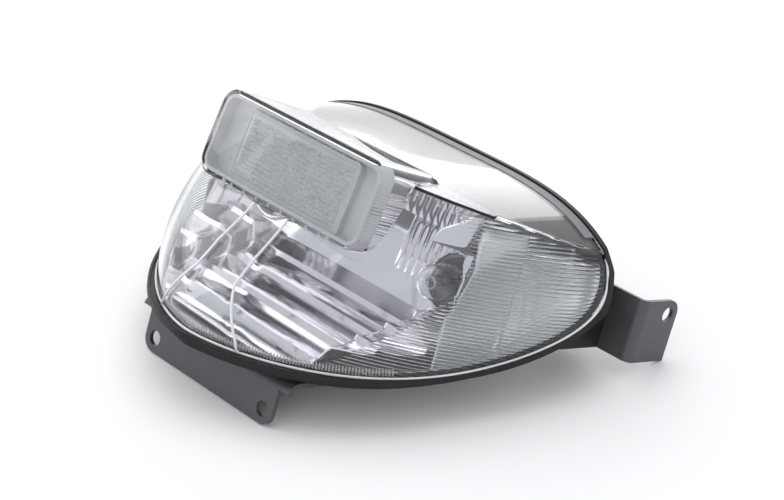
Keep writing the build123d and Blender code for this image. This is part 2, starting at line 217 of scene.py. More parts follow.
noiseSet = {"broadShare": 12, "broadDetail": 3.0, "fineDetail": 4.0, "clearDetail": 2.0}


def grained(name, dark, light, rough, grain, bump, depth, **values):
    material, shader = newMaterial(name, light, **values)
    broad = noiseOn(material, grain / noiseSet["broadShare"], noiseSet["broadDetail"])
    fine = noiseOn(material, grain, noiseSet["fineDetail"])
    link(material, tint(material, broad, dark, light), shader.inputs["Base Color"])
    link(material, spread(material, broad, rough[0], rough[1]), shader.inputs["Roughness"])
    bumpOn(material, shader, fine, bump, depth)
    return material


floorMaterial = grained("floorPaper", (0.84, 0.84, 0.84), (0.88, 0.88, 0.88), (0.85, 0.95), 60, 0.05, 0.001)
floor.data.materials.append(floorMaterial)
grainedLooks = {  # dark and light tone; roughness range, grain, bump, bump depth, other inputs
    "housingBlack": (
        (0.01, 0.01, 0.011), (0.024, 0.024, 0.026),
        (0.42, 0.58), 900, 0.25, 0.0003, {"Specular IOR Level": 0.22},
    ),
    "bracketPaint": (
        (0.075, 0.075, 0.08), (0.10, 0.10, 0.106),
        (0.34, 0.46), 1400, 0.18, 0.0002, {"Metallic": 0.35},
    ),
    "screwZinc": (
        (0.42, 0.42, 0.43), (0.62, 0.61, 0.58),
        (0.22, 0.4), 700, 0.1, 0.0001, {"Metallic": 1.0},
    ),
    "sealBlack": (
        (0.01, 0.01, 0.01), (0.03, 0.03, 0.03),
        (0.5, 0.7), 500, 0.2, 0.0003, {},
    ),
    "siliconeRed": (
        (0.14, 0.035, 0.025), (0.2, 0.05, 0.035),
        (0.4, 0.55), 600, 0.15, 0.0002, {},
    ),
    "holderGrey": (
        (0.10, 0.10, 0.105), (0.16, 0.16, 0.17),
        (0.4, 0.55), 1100, 0.2, 0.0002, {},
    ),
    "contactBrass": (
        (0.55, 0.42, 0.2), (0.72, 0.57, 0.28),
        (0.2, 0.38), 900, 0.1, 0.0001, {"Metallic": 1.0},
    ),
    "tungsten": (
        (0.25, 0.24, 0.23), (0.4, 0.39, 0.37),
        (0.3, 0.45), 2000, 0.1, 0.0001, {"Metallic": 1.0},
    ),
    "chrome": (
        (0.54, 0.53, 0.56), (0.69, 0.678, 0.715),
        (0.06, 0.14), 30, 0.03, 0.0004, {"Metallic": 1.0},
    ),
    "silver": (
        (0.58, 0.585, 0.6), (0.74, 0.745, 0.76),
        (0.36, 0.48), 60, 0.06, 0.0004, {"Metallic": 1.0},
    ),
    # painted shade and dark reflection, laid as a dark band on parts of the chrome reflector
    "paintedShadeBand": (
        (0.13, 0.13, 0.15), (0.22, 0.22, 0.25),
        (0.2, 0.35), 200, 0.05, 0.0002, {"Metallic": 0.5},
    ),
    "flangeGrey": (
        (0.2, 0.2, 0.205), (0.3, 0.3, 0.31),
        (0.25, 0.4), 800, 0.1, 0.0002, {},
    ),
    "framePale": (
        (0.66, 0.665, 0.68), (0.76, 0.765, 0.775),
        (0.2, 0.3), 500, 0.08, 0.0002, {},
    ),
}
looks = {name: grained(name, *row[:-1], **row[-1]) for name, row in grainedLooks.items()}


def clearMaterial(name, color, rough, ior, grain, bump, depth, through):
    material, shader = newMaterial(name, color, Roughness=rough, IOR=ior)
    shader.inputs["Transmission Weight"].default_value = through
    bumpOn(material, shader, noiseOn(material, grain, noiseSet["clearDetail"]), bump, depth)
    return material


clearLooks = {  # tone, roughness, index, grain, bump, bump depth, share let through
    "lensClear": ((0.965, 0.972, 0.98), 0.02, 1.49, 45, 0.02, 0.0005, 1.0),
    "reflexClear": ((0.965, 0.97, 0.975), 0.08, 1.49, 300, 0.05, 0.0003, 0.3),
    "fluteClear": ((0.83, 0.835, 0.85), 0.14, 1.49, 300, 0.04, 0.0003, 0.82),
    "toothClear": ((0.96, 0.965, 0.97), 0.08, 1.49, 300, 0.05, 0.0003, 0.35),
    # this white bead tone, used on the rim, is a painted highlight there
    "beadClear": ((0.98, 0.985, 0.99), 0.1, 1.49, 200, 0.05, 0.0003, 0.3),
    "bulbClear": ((0.98, 0.985, 0.99), 0.01, 1.47, 120, 0.04, 0.0003, 1.0),
}
for name, row in clearLooks.items():
    looks[name] = clearMaterial(name, *row)
print("materials ready")


# lens
lens = {
    "halfWidth": 136.5, "tail": 94.5, "front": 77.0,
    "crown": 113.0, "crownDrop": 34.0, "crownPower": 4,
    "heights": (-8.0, 35.0, 70.0, 95.0, 124.0),
    "widths": (1.0, 1.0, 0.99, 0.85, 0.72),
    "lengths": (1.0, 0.94, 0.78, 0.68, 0.63),
    "sidePowers": (1.3, 2.2, 2.9, 3.6, 4.0),
    "tailPowers": (2.2, 1.6, 1.45, 1.5, 1.5),
    "rimHeight": 6.5, "rimRise": 85.0, "rimPower": 1.58,
    "wall": 2.5, "columns": 241, "outerStep": 2.5, "innerStep": 0.48,
    "flutePitch": 1.92, "fluteDepth": 0.62, "maskEdge": 0.6, "fade": (0.4, 2.0),
    "ridgeHeight": 0.9, "ridgeWidth": 3.0, "ridgeTop": 95, "ridgeFade": 15,
    "levels": (2.0, 114.0), "crownRows": 24, "turnSamples": 1500,
    "rimSearch": (0.0, 100.0), "creaseSearch": (60.0, 123.0), "sharpAngle": 48,
}
fullLength = lens["tail"] + lens["front"]


def naturalSpline(knots, values, where):
    # values: (knots, ...); where: any shape matching values[0]
    x = np.asarray(knots, float)
    h = np.diff(x)
    n = len(x)
    system = np.eye(n)
    right = np.zeros((n,) + values.shape[1:])
    for i in range(1, n - 1):
        system[i, i - 1], system[i, i], system[i, i + 1] = h[i - 1], 2 * (h[i - 1] + h[i]), h[i]
        right[i] = 6 * ((values[i + 1] - values[i]) / h[i] - (values[i] - values[i - 1]) / h[i - 1])
    bend = np.linalg.solve(system, right.reshape(n, -1)).reshape(right.shape)
    index = np.clip(np.searchsorted(x, where) - 1, 0, n - 2)
    columns = np.arange(values.shape[1])
    low, high = x[index], x[index + 1]
    gap = high - low
    a, b = (high - where) / gap, (where - low) / gap
    return (
        a * values[index, columns] + b * values[index + 1, columns]
        + ((a**3 - a) * bend[index, columns] + (b**3 - b) * bend[index + 1, columns]) * gap**2 / 6
    )


def sectionPoints(turns, inset):
    xs, backs = [], []
    shapes = zip(lens["widths"], lens["lengths"], lens["sidePowers"], lens["tailPowers"])
    for width, length, side, tail in shapes:
        across = lens["halfWidth"] * width - inset
        along = fullLength * length - inset
        xs.append(np.sign(turns) * across * np.abs(np.sin(turns)) ** (2 / side))
        backs.append(along * np.abs(np.cos(turns)) ** (2 / tail) - lens["front"])
    return np.array(xs), np.array(backs)


def crownLevel(x, inset):
    return lens["crown"] - inset - lens["crownDrop"] * (np.abs(x) / lens["halfWidth"]) ** lens["crownPower"]


def rimLevel(back):
    ahead = np.clip((lens["tail"] - back) / fullLength, 0, 1)
    power = lens["rimPower"]
    return lens["rimHeight"] + lens["rimRise"] * (1 - (1 - ahead**power) ** (1 / power))


def bisect(test, low, high, rounds=40):
    low, high = low.copy(), high.copy()
    for _ in range(rounds):
        middle = (low + high) / 2
        below = test(middle) < 0
        low, high = np.where(below, middle, low), np.where(below, high, middle)
    return (low + high) / 2


def wallPoint(xs, backs, level):
    knots = lens["heights"]
    return naturalSpline(knots, xs, level), naturalSpline(knots, backs, level)


def wallLimits(turns, inset):
    xs, backs = sectionPoints(turns, inset)
    rimFrom, rimTo = (np.full(len(turns), level) for level in lens["rimSearch"])
    creaseFrom, creaseTo = (np.full(len(turns), level) for level in lens["creaseSearch"])
    rim = bisect(lambda z: z - rimLevel(wallPoint(xs, backs, z)[1]), rimFrom, rimTo)
    crease = bisect(lambda z: z - crownLevel(wallPoint(xs, backs, z)[0], inset), creaseFrom, creaseTo)
    return xs, backs, rim, np.maximum(crease, rim)


def evenTurns(count):
    dense = np.linspace(0, math.pi / 2, lens["turnSamples"])
    xs, backs, rim = wallLimits(dense, 0)[:3]
    x, back = wallPoint(xs, backs, rim)
    run = np.concatenate([[0], np.cumsum(np.sqrt(np.diff(x) ** 2 + np.diff(back) ** 2 + np.diff(rim) ** 2))])
    side = np.interp(np.linspace(0, run[-1], count // 2 + 1), run, dense)
    return np.concatenate([-side[:0:-1], side])


# where the ridges stand, and where the fluted sides begin
ridgeLevels = (5.0, 14.7, 37.6, 70.0, 90.0)
ridgeAcross = (33.0, 28.7, 15.1, 13.3, 12.0)
windowLevels = (10.0, 15.0, 24.0, 45.0, 65.0, 75.0, 96.0, 105.0, 112.0)
windowAcross = (60.0, 64.0, 74.0, 91.0, 102.0, 100.0, 88.0, 80.0, 74.0)


def smoothStep(value, low, high):
    t = np.clip((value - low) / (high - low), 0, 1)
    return t * t * (3 - 2 * t)


def fluteMask(x, level):
    border = np.interp(level, windowLevels, windowAcross)
    return smoothStep(np.abs(x), border - lens["maskEdge"], border + lens["maskEdge"])


def wallGrid(turns, inset, step, fluted):
    xs, backs, rim, crease = wallLimits(turns, inset)
    levels = np.arange(*lens["levels"], step)
    rows = []
    for level in levels:
        z = np.clip(np.full(len(turns), level), rim, crease)
        x, back = wallPoint(xs, backs, z)
        rows.append(np.stack([x, back, z], -1))
    grid = np.array(rows)
    normal = np.cross(np.gradient(grid, axis=1), np.gradient(grid, axis=0))
    size = np.linalg.norm(normal, axis=-1, keepdims=True)
    normal = np.where(size > 1e-9, normal / np.maximum(size, 1e-9), 0)
    outward = np.sign((normal[..., :2] * (grid[..., :2] + [0, 20])).sum(-1, keepdims=True))
    normal *= np.where(outward == 0, 1, outward)
    x, z = grid[..., 0], grid[..., 2]
    free = smoothStep(z - rim, *lens["fade"]) * smoothStep(crease - z, *lens["fade"])
    if fluted:
        wave = np.abs(np.sin(math.pi * z / lens["flutePitch"]))
        grid = grid - normal * (lens["fluteDepth"] * (1 - wave) * fluteMask(x, z) * free)[..., None]
    else:
        ridge = np.interp(z, ridgeLevels, ridgeAcross)
        near = np.exp(-np.abs(np.abs(x) - ridge) / lens["ridgeWidth"])
        near = near * smoothStep(lens["ridgeTop"] - z, 0, lens["ridgeFade"])
        grid = grid + normal * (lens["ridgeHeight"] * near * free)[..., None]
    return grid


def crownGrid(creaseRow, inset, rows):
    # from the crease to the front edge, which is left open to the housing
    target = creaseRow[-1, 0] * np.linspace(-1, 1, len(creaseRow))
    grid = []
    for share in np.linspace(0, 1, rows):
        x = creaseRow[:, 0] * (1 - share) + target * share
        back = creaseRow[:, 1] * (1 - share) - lens["front"] * share
        grid.append(np.stack([x, back, crownLevel(x, inset)], -1))
    grid = np.array(grid)
    grid[0] = creaseRow
    return grid


def lensSolid(name, inset, step, fluted, turns):
    wall = wallGrid(turns, inset, step, fluted)
    columns = len(turns)
    crown = crownGrid(wall[-1], inset, lens["crownRows"])
    points = list(wall.reshape(-1, 3)) + list(crown[1:].reshape(-1, 3))
    faces = gridFaces(len(wall), columns)
    base = len(wall) * columns
    lastWall = (len(wall) - 1) * columns
    for c in range(columns - 1):
        faces.append([lastWall + c, lastWall + c + 1, base + c + 1, base + c])
    faces += gridFaces(len(crown) - 1, columns, base)
    caps = len(faces)
    middle = columns // 2
    for c in range(middle):
        last = c + 1 == middle
        faces.append([middle, c, columns - 1 - c] if last else [c + 1, c, columns - 1 - c, columns - 2 - c])
    frontRow = base + (len(crown) - 2) * columns
    leftEdge = [r * columns for r in range(len(wall))]
    rightEdge = [r * columns + columns - 1 for r in range(len(wall))][::-1]
    faces.append(leftEdge + [frontRow + c for c in range(columns)] + rightEdge)
    mesh = buildMesh(name, toRow(points), faces)
    mesh.materials.append(looks["lensClear"])
    mesh.materials.append(looks["housingBlack"])  # marks the faces that are left open later
    mesh.polygons.foreach_set("material_index", [0] * caps + [1] * (len(faces) - caps))
    return wall, tidyMesh(mesh, 2e-6)


turns = evenTurns(lens["columns"])
outerWall, outerMesh = lensSolid("lensOuter", 0.0, lens["outerStep"], False, turns)
innerWall, innerMesh = lensSolid("lensInner", lens["wall"], lens["innerStep"], True, turns)
print("lens walls", len(outerMesh.polygons), "outer faces", len(innerMesh.polygons), "inner faces")

# raised box of the lens
raisedBox = {
    "width": 128.0, "height": 49.0, "depth": 46.0, "corner": 10.0, "edge": 2.5,
    "lean": 9.7, "back": 52.2, "level": 97.8,
    "ribPitch": 1.75, "ribDepth": 0.4, "cornerSteps": 9, "flatSteps": 16, "edgeSteps": 6,
    "outerStep": 4.0, "innerStep": 0.42, "innerEdge": 1.2, "cornerExtra": 1.0,
    "fluteBelow": 1.5, "fluteAhead": 2.0, "footLevel": 60, "footReach": 60,
}
lean = math.radians(raisedBox["lean"])
faceUp = np.array([0, -math.sin(lean), math.cos(lean)])
faceOut = np.array([0, math.cos(lean), math.sin(lean)])
faceCentre = np.array([0, raisedBox["back"], raisedBox["level"]])


def onFace(points):
    p = np.asarray(points, float)
    return faceCentre + p[..., :1] * np.array([1.0, 0, 0]) + p[..., 1:2] * faceUp + p[..., 2:3] * faceOut


def roundedOutline(halfWide, halfHigh, corner, step, ribs=0.0):
    points = []
    straight = halfHigh - corner
    count = max(int(2 * straight / step), 2)
    flat = raisedBox["flatSteps"]
    bends = [math.pi / 2 * i / raisedBox["cornerSteps"] for i in range(1, raisedBox["cornerSteps"])]
    for side in (1, -1):
        for i in range(count + 1):
            v = -straight + 2 * straight * i / count
            wave = 1 - abs(math.sin(math.pi * v / raisedBox["ribPitch"]))
            dip = ribs * wave * min(1, 3 * (1 - abs(v) / straight))
            points.append((side * (halfWide - dip), side * v))
        for turn in bends:
            u, v = halfWide - corner + corner * math.cos(turn), straight + corner * math.sin(turn)
            points.append((side * u, side * v))
        for i in range(flat + 1):
            points.append((side * (halfWide - corner) * (1 - 2 * i / flat), side * halfHigh))
        for turn in bends:
            u, v = halfWide - corner + corner * math.sin(turn), straight + corner * math.cos(turn)
            points.append((-side * u, side * v))
    return points


def roundedBlock(name, wide, high, corner, edge, top, bottom, step, ribs=0.0):
    rows = [(bottom, 0.0), ((bottom + top) / 2, 0.0), (top - edge, 0.0)]
    for i in range(1, raisedBox["edgeSteps"] + 1):
        turn = math.pi / 2 * i / raisedBox["edgeSteps"]
        rows.append((top - edge + edge * math.sin(turn), edge * (1 - math.cos(turn))))
    points = []
    for depth, inset in rows:
        ribsHere = ribs * (1 - inset / edge)
        outline = roundedOutline(wide / 2 - inset, high / 2 - inset, corner - inset, step, ribsHere)
        points += [(u, v, depth) for u, v in outline]
    columns = len(points) // len(rows)
    faces = gridFaces(len(rows), columns, wrap=True)
    faces.append(list(range(columns))[::-1])
    faces.append([(len(rows) - 1) * columns + c for c in range(columns)])
    mesh = buildMesh(name, toRow(onFace(points)), faces)
    mesh.materials.append(looks["lensClear"])
    mesh.materials.append(looks["housingBlack"])
    return tidyMesh(mesh, 1e-6)


def unite(name, mesh, other):
    base, tool = addObject(name, mesh), addObject(name + "Tool", other)
    cut = base.modifiers.new("join", "BOOLEAN")
    cut.operation = "UNION"
    cut.solver = "EXACT"
    cut.object = tool
    bpy.context.view_layer.update()
    result = bpy.data.meshes.new_from_object(base.evaluated_get(bpy.context.evaluated_depsgraph_get()))
    bpy.data.objects.remove(base)
    bpy.data.objects.remove(tool)
    return result


wallGap = lens["wall"]
boxOuter = roundedBlock(
    "boxOuter", raisedBox["width"], raisedBox["height"], raisedBox["corner"], raisedBox["edge"],
    0.0, -raisedBox["depth"], raisedBox["outerStep"],
)
boxInner = roundedBlock(
    "boxInner", raisedBox["width"] - 2 * wallGap, raisedBox["height"] - 2 * wallGap,
    raisedBox["corner"] - wallGap + raisedBox["cornerExtra"], raisedBox["innerEdge"],
    -wallGap, -raisedBox["depth"] + wallGap, raisedBox["innerStep"], raisedBox["ribDepth"],
)
outerSkin = unite("outerSkin", outerMesh, boxOuter)
innerSkin = unite("innerSkin", innerMesh, boxInner)


def openShell(name, outside, inside):
    work = bmesh.new()
    work.from_mesh(outside)
    count = len(work.faces)
    work.from_mesh(inside)
    work.faces.ensure_lookup_table()
    bmesh.ops.reverse_faces(work, faces=work.faces[count:])
    for face in work.faces[count:]:
        face.tag = True
    caps = [face for face in work.faces if face.material_index == 1]
    bmesh.ops.delete(work, geom=caps, context="FACES")
    rims = [edge for edge in work.edges if len(edge.link_faces) == 1]
    bmesh.ops.bridge_loops(work, edges=rims)
    for face in work.faces:
        face.material_index = 0
        face.smooth = True
        if face.tag:
            x, back, z = toUpright(face.calc_center_median())
            ahead = raisedBox["back"] - raisedBox["fluteAhead"]
            if z < raisedBox["footLevel"]:
                ahead += raisedBox["footReach"]
            onWall = z < crownLevel(x, lens["wall"]) - raisedBox["fluteBelow"] and back < ahead
            if onWall and abs(x) > np.interp(z, windowLevels, windowAcross):
                face.material_index = 1
    mesh = bpy.data.meshes.new(name)
    work.to_mesh(mesh)
    loose = sum(1 for edge in work.edges if len(edge.link_faces) != 2)
    print(name, len(mesh.polygons), "faces", loose, "open edges", round(work.calc_volume() * 1e9), "cubic mm")
    work.free()
    mesh.set_sharp_from_angle(angle=math.radians(lens["sharpAngle"]))
    return mesh


outerLens = addObject("outerLens", openShell("outerLens", outerSkin, innerSkin))
outerLens.data.materials.clear()
outerLens.data.materials.append(looks["lensClear"])
outerLens.data.materials.append(looks["fluteClear"])
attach(outerLens, "lamp")
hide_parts("outer_lens")
print("lens shell ready")

# chrome reflector
reflector = {
    "half": 97.5, "start": 33.5, "slope": 0.28, "pitch": 20.0, "rise": 3.0, "lip": 0.9, "steps": 3,
    "sag": 1.4, "tail": 14, "rows": 10, "columns": 289,
    # the last width here sets the band of painted shade beside the trough ends
    "troughEnd": 62.0, "shoulder": 9.0, "shoulderWidth": 4.5, "paintedShadeWidth": 4.0,
    "wallLine": ((-13.6, 41.5), (-19.0, 62.0), (-23.0, 84.0)),  # back, level
    "shelfLine": ((-21.0, 85.4), (-15.0, 86.2), (-9.0, 87.0)),
    "topRows": 6, "topBack": 5.0, "topRise": 18.0,
    "flutePitch": 5.3, "fluteDepth": 1.9, "fluteStart": (29.0, 32.0),
    "sweep": 26.0, "sweepRange": (80.0, 97.0), "sweepPower": 1.6,
    "bulbAcross": 70.0, "bulbLevel": 60.0, "bulbHole": 15.2,
    "wall": 1.2, "sideGap": 2.5, "topGap": 2.2, "sharpAngle": 40,
    "curvePoints": 120, "curveInset": 1.5,
}


def reflectorProfile():
    rows = []  # back, level, trough share, flute share
    tailEnd = reflector["pitch"] * reflector["steps"] + reflector["tail"]
    for step in range(reflector["steps"], -1, -1):
        rearmost = step == reflector["steps"]
        start = step * reflector["pitch"]
        end = tailEnd if rearmost else start + reflector["pitch"]
        low = reflector["start"] - reflector["slope"] * end - (reflector["rise"] if rearmost else 0.0)
        high = reflector["start"] - reflector["slope"] * start - reflector["rise"]
        lip = 0.0 if rearmost else reflector["lip"]
        for i in range(reflector["rows"] + 1):
            share = i / reflector["rows"]
            back = end - lip + (start - end + lip) * share
            level = low + (high - low) * share - reflector["sag"] * 4 * share * (1 - share)
            rows.append((back, level, 1.0, 0.0))
    rows.append((-reflector["lip"], reflector["start"], 1.0, 0.0))
    rows += [(-6.5, 35.6, 0.8, 0.0), (-13.0, 39.0, 0.4, 0.0)]
    foot, bend, head = reflector["wallLine"]
    for low, high in ((foot, bend), (bend, head)):
        for i in range(reflector["rows"] + 1):
            share = i / reflector["rows"]
            # flutes fade in below the bend and stop short of the shelf
            fade = min(1.0, 6 * min(share + 0.1, 1 - share)) if high is head else max(0.0, share - 0.45)
            back, level = low[0] + (high[0] - low[0]) * share, low[1] + (high[1] - low[1]) * share
            rows.append((back, level, 0.0, fade))
    rows += [(back, level, 0.0, 0.0) for back, level in reflector["shelfLine"]]
    shelfLip = reflector["shelfLine"][-1]
    for i in range(1, reflector["topRows"] + 1):
        share = i / reflector["topRows"]
        fade = min(1.0, 4 * min(share, 1.02 - share))
        back, level = shelfLip[0] - reflector["topBack"] * share, shelfLip[1] + reflector["topRise"] * share
        rows.append((back, level, 0.0, fade))
    return rows


def innerCurve(level):
    # the lens inside at this level: places along, half widths there
    count = reflector["curvePoints"]
    xs, backs = sectionPoints(np.linspace(0.02, math.pi / 2, count), lens["wall"] + reflector["curveInset"])
    level = max(min(level, 118.0), 0.0)
    x, reach = wallPoint(xs, backs, np.full(count, level))
    return reach[::-1], x[::-1]


def innerReach(back, level):
    return float(np.interp(back, *innerCurve(level)))


def paintedShadeFace(profile, points, face, columns):
    # painted shade and dark reflection: dark bands on the shelf, the top strip and beside the scooped trough
    # ends
    back, level, trough = profile[face[0] // columns][:3]
    side = abs(points[face[0]][0])
    if trough < 0.5:
        return int(side > 44 and (83.9 < level < 86.9 or level > 100.5))
    along = (back / reflector["pitch"]) % 1.0
    beside = reflector["troughEnd"] + 0.3 < side < reflector["troughEnd"] + reflector["paintedShadeWidth"]
    return int(beside and 0.2 < along < 0.85 and back > 2)


def reflectorMesh():
    across = np.linspace(-1, 1, reflector["columns"])
    troughSpan = (reflector["troughEnd"], reflector["troughEnd"] + reflector["shoulderWidth"])
    profile = reflectorProfile()
    points = []
    for back, level, trough, flute in profile:
        curve = innerCurve(level)
        reach = min(reflector["half"], float(np.interp(back, *curve)) - reflector["sideGap"])
        for share in across:
            x = share * reach
            side = abs(x)
            z, b = level, back
            z += trough * reflector["shoulder"] * smoothStep(side, *troughSpan)
            wave = abs(math.sin(math.pi * x / reflector["flutePitch"]))
            b += flute * reflector["fluteDepth"] * wave * smoothStep(side, *reflector["fluteStart"])
            if trough < 0.5:
                swept = smoothStep(side, *reflector["sweepRange"]) ** reflector["sweepPower"]
                b += reflector["sweep"] * swept * (1 - trough)
                x = math.copysign(min(side, float(np.interp(b, *curve)) - reflector["sideGap"]), x)
            top = float(crownLevel(np.array(x), lens["wall"])) - reflector["topGap"]
            points.append((x, b, min(z, top)))
    faces = gridFaces(len(profile), len(across))
    work = bmesh.new()
    mesh = buildMesh("chromeReflector", points, faces)
    # faces picked here take the painted shade band
    dark = [paintedShadeFace(profile, points, face, len(across)) for face in faces]
    mesh.polygons.foreach_set("material_index", dark)
    work.from_mesh(mesh)
    hole = reflector["bulbHole"]
    place = (reflector["bulbAcross"], reflector["bulbLevel"])

    def off(co, side):
        return math.hypot(co.x - side * place[0], co.z - place[1])

    for side in (-1, 1):
        centres = [(face, face.calc_center_median()) for face in work.faces]
        gone = [face for face, centre in centres if off(centre, side) < hole and centre.y < 0]
        bmesh.ops.delete(work, geom=gone, context="FACES")
        for vert in work.verts:
            if vert.is_boundary and vert.co.y < 5 and off(vert.co, side) < hole + 3:
                d = off(vert.co, side)
                vert.co.x = side * place[0] + (vert.co.x - side * place[0]) * hole / d
                vert.co.z = place[1] + (vert.co.z - place[1]) * hole / d
    bmesh.ops.remove_doubles(work, verts=work.verts, dist=0.01)
    work.to_mesh(mesh)
    work.free()
    flat = np.array([v.co[:] for v in mesh.vertices])
    mesh.vertices.foreach_set("co", toRow(flat).ravel())
    mesh.update()
    return mesh


chromeReflector = addObject("chromeReflector", reflectorMesh())
thick = chromeReflector.modifiers.new("wall", "SOLIDIFY")
thick.thickness = reflector["wall"] / 1000
thick.offset = -1
chromeReflector.data.materials.append(looks["chrome"])
# second slot: the painted shade and dark reflection band
chromeReflector.data.materials.append(looks["paintedShadeBand"])
chromeReflector.data.set_sharp_from_angle(angle=math.radians(reflector["sharpAngle"]))
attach(chromeReflector, "lamp")
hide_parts("chrome_reflector")

# silvered lining of the tray, seen through the fluted sides and the top
lining = {
    "edgeGap": 2.2, "sink": 4.7, "edgeWidth": 8.0, "front": -75.0, "tail": 90.0,
    "recessHalf": 100.0, "recessTop": 87.6, "recessEnd": -26.0,
    "plateRear": 13.0, "plateAcross": 97.4, "plateFront": -31.0, "plateFlare": 4.2,
    "plateFoot": 2.2, "plateTop": 2.4, "plateLow": 0.42, "plateRise": 0.58,
    "plateRows": 24, "plateColumns": 14,
    "sideGap": 0.9, "plateGap": 1.0, "thick": 0.6,
}


def liningGrid():
    ahead, behind = np.linspace(lining["front"], -27.0, 22), np.linspace(-25.0, lining["tail"], 54)
    backs = np.concatenate([ahead, behind])
    middle = np.linspace(-0.68, 0.68, 20)
    across = np.concatenate([np.linspace(-1, -0.7, 30), middle, np.linspace(0.7, 1, 30)])
    recessEdge = (lining["recessHalf"] - 0.3, lining["recessHalf"] + 1.2)
    points = []
    for back in backs:
        level = float(rimLevel(np.array(back)))
        reach = innerReach(back, level + lining["edgeGap"]) - lining["sideGap"]
        inRecess = 1.0 if back < lining["recessEnd"] else 0.0
        for share in across:
            x = share * reach
            sunk = lining["sink"] * smoothStep(reach - abs(x), 0.8, lining["edgeWidth"])
            z = level + lining["edgeGap"] - sunk
            over = inRecess * (1 - smoothStep(abs(x), *recessEdge))
            points.append((x, back, z + over * max(0.0, lining["recessTop"] - z)))
    return points, gridFaces(len(backs), len(across))


liningPoints, liningFaces = liningGrid()
for side in (-1, 1):  # upright plates that close both ends of the reflector
    plate = []
    for share in np.linspace(0, 1, lining["plateRows"]):
        back = lining["plateRear"] + (lining["plateFront"] - lining["plateRear"]) * share
        x = side * (lining["plateAcross"] + lining["plateFlare"] * share)
        bottom = float(rimLevel(np.array(back))) - lining["plateFoot"]
        top = float(crownLevel(np.array(x), lens["wall"])) - lining["plateTop"]
        top = bottom + (top - bottom) * (lining["plateLow"] + lining["plateRise"] * smoothStep(share, 0.0, 0.5))
        for rise in np.linspace(0, 1, lining["plateColumns"]):
            z = bottom + (top - bottom) * rise
            plate.append((side * min(abs(x), innerReach(back, z) - lining["plateGap"]), back, z))
    start = len(liningPoints)
    liningFaces += gridFaces(lining["plateRows"], lining["plateColumns"], start, flip=side < 0)
    liningPoints += plate
lampLining = addObject("silverLining", buildMesh("silverLining", toRow(liningPoints), liningFaces))
lampLining.data.materials.append(looks["silver"])
liningWall = lampLining.modifiers.new("wall", "SOLIDIFY")
liningWall.thickness = lining["thick"] / 1000
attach(lampLining, "lamp")
print("reflector ready")


# repeated detail by geometry nodes
def newTree(name, sizes):
    tree = bpy.data.node_groups.new(name, "GeometryNodeTree")
    tree.interface.new_socket("Geometry", in_out="INPUT", socket_type="NodeSocketGeometry")
    names = {}
    for label, value in sizes.items():
        kind = "NodeSocketInt" if isinstance(value, int) else "NodeSocketFloat"
        socket = tree.interface.new_socket(label, in_out="INPUT", socket_type=kind)
        names[label] = socket.identifier
    tree.interface.new_socket("Geometry", in_out="OUTPUT", socket_type="NodeSocketGeometry")
    return tree, tree.nodes.new("NodeGroupInput"), tree.nodes.new("NodeGroupOutput"), names


def treeNode(tree, kind, links=(), **settings):
    node = tree.nodes.new(kind)
    for key, value in settings.items():
        if key in node.inputs:
            node.inputs[key].default_value = value
        else:
            setattr(node, key, value)
    for source, socket in links:
        tree.links.new(source, node.inputs[socket])
    return node


def finishTree(tree, out, last, material):
    real = treeNode(tree, "GeometryNodeRealizeInstances", [(last, "Geometry")])
    paint = treeNode(tree, "GeometryNodeSetMaterial", [(real.outputs[0], "Geometry")])
    paint.inputs["Material"].default_value = material
    tree.links.new(paint.outputs[0], out.inputs[0])


def grownBy(obj, tree, names, sizes):
    made = obj.modifiers.new(tree.name, "NODES")
    made.node_group = tree
    for label, value in sizes.items():
        made[names[label]] = value
    bpy.context.view_layer.update()
    result = bpy.data.meshes.new_from_object(obj.evaluated_get(bpy.context.evaluated_depsgraph_get()))
    obj.modifiers.remove(made)
    old = obj.data
    obj.data = result
    bpy.data.meshes.remove(old)
    return obj


def instanceTree(name, sizes, material, shape, uneven=0.0):
    # one small shape at every point, turned by the points' own "turn" and sized by the named inputs
    tree, source, out, names = newTree(name, sizes)
    turn = treeNode(tree, "GeometryNodeInputNamedAttribute", data_type="FLOAT_VECTOR", Name="turn")
    vary = treeNode(tree, "FunctionNodeRandomValue", [(source.outputs["Seed"], "Seed")], data_type="FLOAT")
    vary.inputs[2].default_value = 1 - uneven
    vary.inputs[3].default_value = 1 + uneven
    tall = treeNode(tree, "ShaderNodeMath", operation="MULTIPLY")
    tree.links.new(source.outputs["Height"], tall.inputs[0])
    tree.links.new(vary.outputs[1], tall.inputs[1])
    sides = [(source.outputs["Length"], "X"), (source.outputs["Width"], "Y"), (tall.outputs[0], "Z")]
    size = treeNode(tree, "ShaderNodeCombineXYZ", sides)
    if shape == "prism":
        form = treeNode(tree, "GeometryNodeMeshCone", Vertices=4)
        form.inputs["Radius Bottom"].default_value = 0.7071
        form.inputs["Depth"].default_value = 1.0
    else:
        form = treeNode(tree, "GeometryNodeMeshUVSphere", Segments=8, Rings=5)
        form.inputs["Radius"].default_value = 0.5
    points = treeNode(tree, "GeometryNodeMeshToPoints", [(source.outputs["Geometry"], "Mesh")])
    spot = treeNode(tree, "GeometryNodeInstanceOnPoints", [
        (points.outputs[0], "Points"), (form.outputs["Mesh"], "Instance"),
        (turn.outputs["Attribute"], "Rotation"), (size.outputs[0], "Scale"),
    ])
    finishTree(tree, out, spot.outputs[0], material)
    return tree, names


def pointCloud(name, points, turns):
    mesh = bpy.data.meshes.new(name)
    mesh.from_pydata([tuple(p) for p in points], [], [])
    turn = mesh.attributes.new("turn", "FLOAT_VECTOR", "POINT")
    turn.data.foreach_set("vector", np.asarray(turns, float).ravel())
    return addObject(name, mesh)


def turnFor(along, up):
    # the turn that lays a shape's X on along and its Z on up
    x = Vector(along).normalized()
    z = Vector(up)
    z = (z - x * z.dot(x)).normalized()
    y = z.cross(x)
    return tuple(Matrix((x, y, z)).transposed().to_euler("XYZ"))


